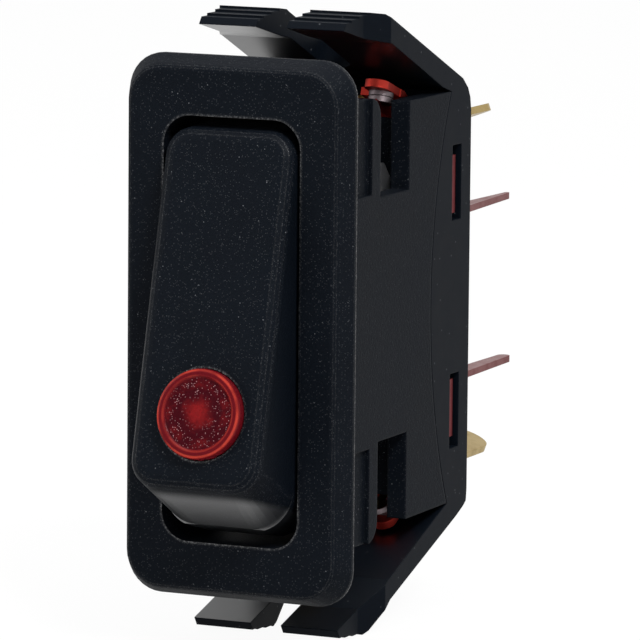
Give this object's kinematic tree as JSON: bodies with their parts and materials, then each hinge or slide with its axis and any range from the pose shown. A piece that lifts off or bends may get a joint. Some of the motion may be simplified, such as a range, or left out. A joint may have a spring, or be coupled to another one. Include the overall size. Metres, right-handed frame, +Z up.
{
  "type": "panel rocker switch",
  "caption": "Slim snap-in rocker switch with a lighted round lens, stepped snap arms, a see-saw contact blade inside and solder tags at the back",
  "frame": {"origin": "centre of the bezel's back face, in the plane of the panel's front face", "axes": "+X right as seen from the front, +Y into the panel towards the tags, +Z up along the bezel's height"},
  "size_m": [0.0144, 0.0386, 0.0372],
  "materials": {
    "black_moulding": "fine spark-eroded texture",
    "black_base": "satin moulding",
    "black_rocker": "fine spark-eroded texture",
    "red_lens": "clear red, pebbled disc inside a smooth rim",
    "lamp_glass": "clear",
    "tinned_wire": "tinned",
    "resistor_body": "lacquered",
    "white_nylon": "satin",
    "spring_steel": "bright",
    "copper": "rolled copper, slightly dull",
    "silver_contact": "silver",
    "brass": "rolled brass"
  },
  "bodies": {
    "body": {"housing": "black_moulding", "rear_base": "black_base", "load_terminal": "copper", "common_terminal": "copper", "neutral_terminal": "brass", "rest_terminal": "brass", "fixed_contact_upper": "silver_contact", "fixed_contact_lower": "silver_contact", "feed_leaf_live": "tinned_wire", "feed_leaf_neutral": "tinned_wire"},
    "rocker": {"rocker": "black_rocker", "lens": "red_lens", "lamp_bulb": "lamp_glass", "lamp_lead_live": "tinned_wire", "lamp_lead_neutral": "tinned_wire", "lamp_resistor": "resistor_body", "plunger_spring": "spring_steel"},
    "plunger": {"plunger": "white_nylon"},
    "blade": {"contact_blade": "copper", "moving_contact_upper": "silver_contact", "moving_contact_lower": "silver_contact"}
  },
  "joints": [
    {"name": "rocker_tilt", "type": "hinge", "parent": "body", "child": "rocker", "pos_m": [0, 0.0025, 0], "axis": [1, 0, 0], "range_deg": [0, 28]},
    {"name": "blade_rock", "type": "hinge", "parent": "body", "child": "blade", "pos_m": [0, 0.01313, 0], "axis": [1, 0, 0], "range_deg": [-7, 0]},
    {"name": "plunger_slide", "type": "slide", "parent": "rocker", "child": "plunger", "axis": [0, -0.9703, 0.2419], "range_m": [0, 0.0006], "stiffness_N_per_m": 400, "springref_m": -0.001, "deforming": ["plunger_spring"]}
  ],
  "couplings": [
    {"joint": "blade_rock", "follows": "rocker_tilt", "ratio": -0.25}
  ]
}
